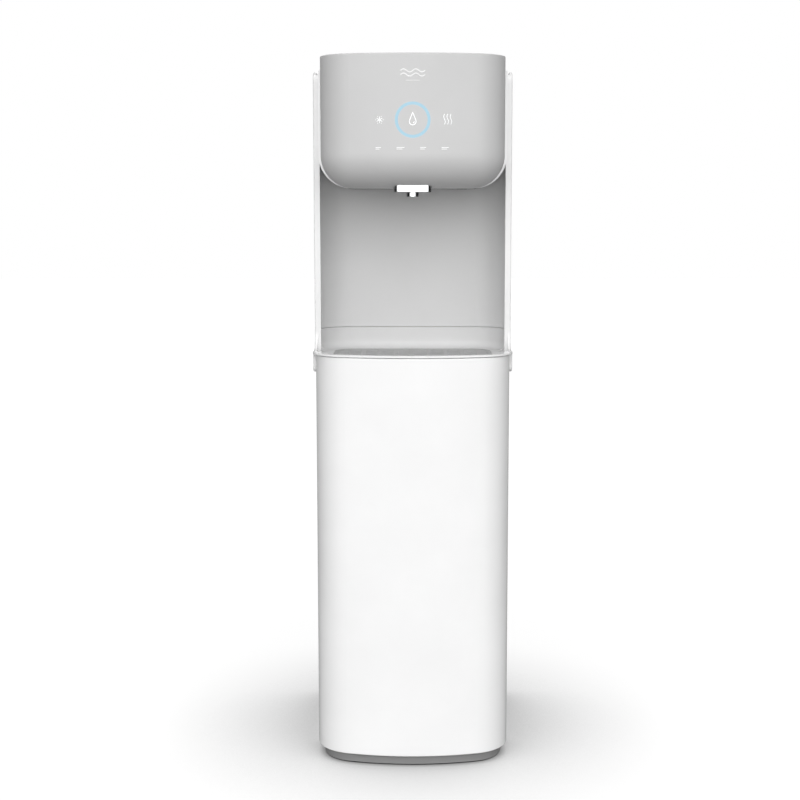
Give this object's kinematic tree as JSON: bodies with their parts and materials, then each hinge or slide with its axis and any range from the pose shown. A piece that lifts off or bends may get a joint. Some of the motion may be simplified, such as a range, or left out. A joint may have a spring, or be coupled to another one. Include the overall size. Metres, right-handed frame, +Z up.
{
  "type": "water dispenser",
  "caption": "Free-standing filtered water dispenser: bowed white cabinet, lift-out drip tray, cup niche, overhanging grey head with a lit touch ring and a chrome outlet.",
  "frame": {"origin": "on the floor, under the middle of the box that holds the whole object", "axes": "+Z up, the front with the outlet faces -Y, +X is to the right of someone looking at the front"},
  "size_m": [0.3096, 0.39, 1.09],
  "materials": {
    "white_gloss": "gloss",
    "grey_satin": "satin",
    "tray_grey": "satin",
    "plinth_grey": "matte",
    "white_steel": "satin",
    "zinc_steel": "satin",
    "chrome": "polished",
    "stainless": "brushed",
    "rubber": "matte",
    "ring_light": "translucent, lit from behind",
    "clear_guide": "clear",
    "circuit_green": "satin",
    "black_plastic": "matte",
    "copper": "satin",
    "foam": "matte",
    "filter_white": "satin",
    "tube_white": "satin",
    "black_paint": "satin",
    "rocker_red": "gloss",
    "rocker_green": "gloss"
  },
  "bodies": {
    "cabinet": {"plinth": "plinth_grey", "rubber_feet": "rubber", "base_plate": "zinc_steel", "cover_clips": "black_plastic", "clip_rails": "zinc_steel", "uprights": "zinc_steel", "left_side_panel": "white_steel", "right_side_panel": "white_steel", "shelf": "zinc_steel", "rear_panel": "white_steel", "wall_spacers": "black_plastic", "rear_screws": "zinc_steel", "left_cheek": "white_gloss", "right_cheek": "white_gloss", "tray_rim": "white_gloss", "tray_surround": "grey_satin", "niche_back_panel": "grey_satin", "head_front_cover": "grey_satin", "head_housing": "white_gloss", "head_arms": "zinc_steel", "top_lid": "white_gloss", "light_ring": "ring_light", "light_guide": "clear_guide", "display_board": "circuit_green", "nozzle_collar": "chrome", "nozzle_spout": "chrome", "outlet_valve_body": "black_plastic", "outlet_valve_coils": "black_plastic", "filter_manifold": "black_plastic", "hot_tank": "stainless", "hot_tank_heater": "black_paint", "hot_tank_bracket": "zinc_steel", "cold_tank": "stainless", "evaporator_coil": "copper", "foam_jacket": "foam", "compressor": "black_paint", "compressor_grommets": "rubber", "condenser": "black_paint", "refrigerant_lines": "copper", "control_box": "black_plastic", "control_board": "circuit_green", "mains_socket": "black_plastic", "switch_bezels": "black_plastic", "water_inlet_fitting": "black_plastic", "inlet_valve": "black_plastic", "drain_spigots": "black_plastic", "drain_caps": "black_plastic", "inlet_tube": "tube_white", "supply_tube": "tube_white", "hot_tube": "tube_white", "head_tubes": "tube_white"},
    "front_cover": {"front_cover": "white_gloss", "cover_ball_studs": "zinc_steel"},
    "drip_tray": {"drip_tray": "tray_grey"},
    "drip_grille": {"drip_grille": "tray_grey"},
    "sediment_cartridge": {"sediment_cartridge": "filter_white"},
    "carbon_cartridge": {"carbon_cartridge": "filter_white"},
    "membrane_cartridge": {"membrane_cartridge": "filter_white"},
    "hot_rocker": {"hot_rocker": "rocker_red"},
    "cold_rocker": {"cold_rocker": "rocker_green"}
  },
  "joints": [
    {"name": "front_cover_pull", "type": "slide", "parent": "cabinet", "child": "front_cover", "axis": [0, -1, 0], "range_m": [0, 0.15]},
    {"name": "drip_tray_lift", "type": "slide", "parent": "cabinet", "child": "drip_tray", "axis": [0, 0, 1], "range_m": [0, 0.1]},
    {"name": "drip_grille_lift", "type": "slide", "parent": "drip_tray", "child": "drip_grille", "axis": [0, 0, 1], "range_m": [0, 0.06]},
    {"name": "sediment_cartridge_twist", "type": "hinge", "parent": "cabinet", "child": "sediment_cartridge", "pos_m": [-0.074, -0.069, 0.4], "axis": [0, 0, 1], "range_deg": [0, 90]},
    {"name": "carbon_cartridge_twist", "type": "hinge", "parent": "cabinet", "child": "carbon_cartridge", "pos_m": [0, -0.069, 0.4], "axis": [0, 0, 1], "range_deg": [0, 90]},
    {"name": "membrane_cartridge_twist", "type": "hinge", "parent": "cabinet", "child": "membrane_cartridge", "pos_m": [0.074, -0.069, 0.4], "axis": [0, 0, 1], "range_deg": [0, 90]},
    {"name": "hot_rocker_tilt", "type": "hinge", "parent": "cabinet", "child": "hot_rocker", "pos_m": [0.084, 0.173, 0.888], "axis": [1, 0, 0], "range_deg": [0, 16]},
    {"name": "cold_rocker_tilt", "type": "hinge", "parent": "cabinet", "child": "cold_rocker", "pos_m": [0.114, 0.173, 0.888], "axis": [1, 0, 0], "range_deg": [0, 16]}
  ]
}
